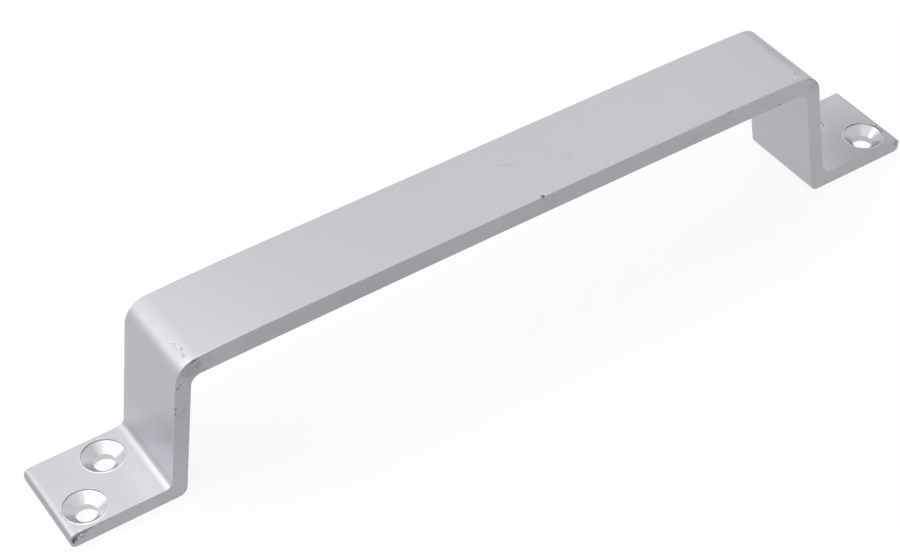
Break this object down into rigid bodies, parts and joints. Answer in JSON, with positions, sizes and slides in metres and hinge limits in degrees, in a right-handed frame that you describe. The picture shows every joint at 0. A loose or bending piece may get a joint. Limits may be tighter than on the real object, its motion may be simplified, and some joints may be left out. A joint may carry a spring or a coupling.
{
  "type": "pull handle",
  "caption": "Angled pull handle: one hat-shaped metal profile with a long flat grip on splayed legs and flat feet drilled and countersunk for screws.",
  "frame": {"origin": "middle of the footprint, on the plane of the feet's undersides", "axes": "+X along the grip, +Y across the width, +Z from the feet up to the grip"},
  "size_m": [0.201, 0.02, 0.0333],
  "materials": {
    "aluminium": "satin anodised, sawn cut faces"
  },
  "bodies": {
    "root": {"pull_handle": "aluminium"}
  },
  "joints": []
}
